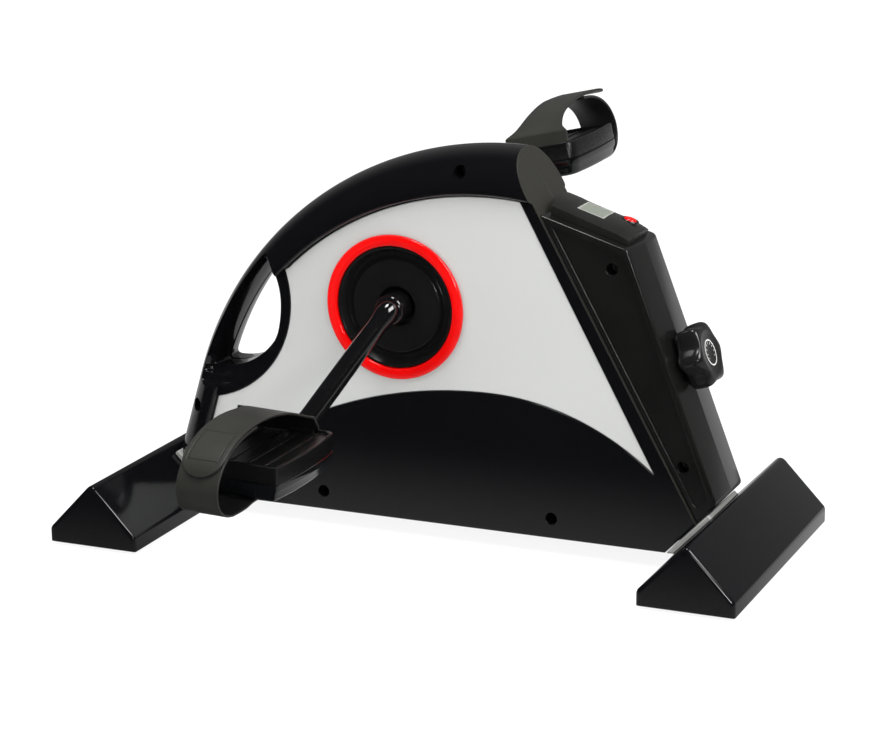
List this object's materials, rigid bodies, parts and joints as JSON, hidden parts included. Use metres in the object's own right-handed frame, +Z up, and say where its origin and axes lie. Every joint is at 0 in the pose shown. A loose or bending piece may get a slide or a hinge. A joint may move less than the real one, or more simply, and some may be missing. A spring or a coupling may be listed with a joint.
{
  "type": "mini exercise bike",
  "caption": "Compact pedal exerciser for use from a chair: arched housing with a hand grip on bar feet, bent crank arms, strapped pedals, tension knob and a small computer",
  "frame": {"origin": "centre of the bounding box at floor level, midway between the feet", "axes": "+X points from the handle end to the console end, where the user sits; +Y points to the user's right, along the feet and out along the pedals; +Z is up"},
  "size_m": [0.5338, 0.5874, 0.3042],
  "materials": {
    "housing_black": "high gloss moulded black",
    "box_black": "semi-gloss moulded black",
    "foot_black": "semi-gloss moulded black",
    "cover_black": "semi-gloss moulded black",
    "side_silver": "satin silver lacquer",
    "ring_red": "satin red moulding",
    "crank_paint": "gloss black enamel on steel",
    "pedal_gloss": "gloss moulded black",
    "pedal_matte": "fine stippled black",
    "strap_rubber": "matte moulded rubber",
    "pad_rubber": "matte rubber",
    "belt_rubber": "ribbed belt rubber",
    "frame_paint": "black powder coat on steel",
    "steel": "turned and ground steel",
    "zinc": "zinc plated steel",
    "magnet_grey": "nickel plated magnet",
    "pulley_nylon": "black nylon",
    "knob_black": "satin moulded black",
    "computer_black": "satin moulded black",
    "display": "grey-green display under a clear window",
    "button_red": "gloss red moulding"
  },
  "bodies": {
    "base": {"left_housing_shell": "housing_black", "right_housing_shell": "housing_black", "left_box_cover": "box_black", "right_box_cover": "box_black", "console_foot_cover": "foot_black", "handle_foot_cover": "foot_black", "left_round_cover": "cover_black", "right_round_cover": "cover_black", "left_side_panel": "side_silver", "right_side_panel": "side_silver", "left_bezel_ring": "ring_red", "right_bezel_ring": "ring_red", "console_left_pad": "pad_rubber", "console_right_pad": "pad_rubber", "handle_left_pad": "pad_rubber", "handle_right_pad": "pad_rubber", "drive_belt": "belt_rubber", "main_frame": "frame_paint", "console_foot_bar": "frame_paint", "handle_foot_bar": "frame_paint", "left_axle_bearing": "steel", "right_axle_bearing": "steel", "left_shaft_bearing": "steel", "right_shaft_bearing": "steel", "return_spring": "steel", "brake_pin": "zinc", "console_foot_bolt": "zinc", "handle_foot_bolt": "zinc", "crest_screw": "zinc", "strut_screw": "zinc", "front_floor_screw": "zinc", "rear_floor_screw": "zinc", "box_top_screw": "zinc", "box_low_screw": "zinc", "computer_case": "computer_black", "computer_lens": "display"},
    "crank": {"crank_axle": "steel", "drive_pulley": "pulley_nylon", "left_crank_arm": "crank_paint", "right_crank_arm": "crank_paint", "left_pedal_spindle": "steel", "right_pedal_spindle": "steel"},
    "left_pedal": {"left_pedal_base": "pedal_gloss", "left_pedal_top": "pedal_matte", "left_strap_outer": "strap_rubber", "left_strap_inner": "strap_rubber"},
    "right_pedal": {"right_pedal_base": "pedal_gloss", "right_pedal_top": "pedal_matte", "right_strap_outer": "strap_rubber", "right_strap_inner": "strap_rubber"},
    "flywheel": {"flywheel": "steel", "flywheel_shaft": "steel"},
    "brake": {"brake_bracket": "zinc", "brake_magnets": "magnet_grey"},
    "knob": {"tension_knob": "knob_black", "knob_cam": "pulley_nylon"},
    "button": {"computer_button": "button_red"}
  },
  "joints": [
    {"name": "crank_turn", "type": "hinge", "parent": "base", "child": "crank", "pos_m": [-0.0292, 0, 0.1807], "axis": [0, 1, 0], "continuous": true},
    {"name": "left_pedal_turn", "type": "hinge", "parent": "crank", "child": "left_pedal", "pos_m": [-0.06591, -0.1941, 0.10304], "axis": [0, 1, 0], "continuous": true},
    {"name": "right_pedal_turn", "type": "hinge", "parent": "crank", "child": "right_pedal", "pos_m": [0.00751, 0.1941, 0.25836], "axis": [0, 1, 0], "continuous": true},
    {"name": "flywheel_turn", "type": "hinge", "parent": "base", "child": "flywheel", "pos_m": [0.085, 0, 0.108], "axis": [0, 1, 0], "continuous": true},
    {"name": "knob_turn", "type": "hinge", "parent": "base", "child": "knob", "pos_m": [0.18935, 0, 0.1534], "axis": [0.9336, 0, 0.3584], "range_deg": [0, 300]},
    {"name": "brake_swing", "type": "hinge", "parent": "base", "child": "brake", "pos_m": [0.16, 0, 0.056], "axis": [0, -1, 0], "range_deg": [0, 3]},
    {"name": "button_press", "type": "slide", "parent": "base", "child": "button", "axis": [-0.2957, 0, -0.9553], "range_m": [0, 0.001], "stiffness_N_per_m": 300}
  ],
  "couplings": [
    {"joint": "flywheel_turn", "follows": "crank_turn", "ratio": 5.0072},
    {"joint": "brake_swing", "follows": "knob_turn", "ratio": 0.01}
  ]
}
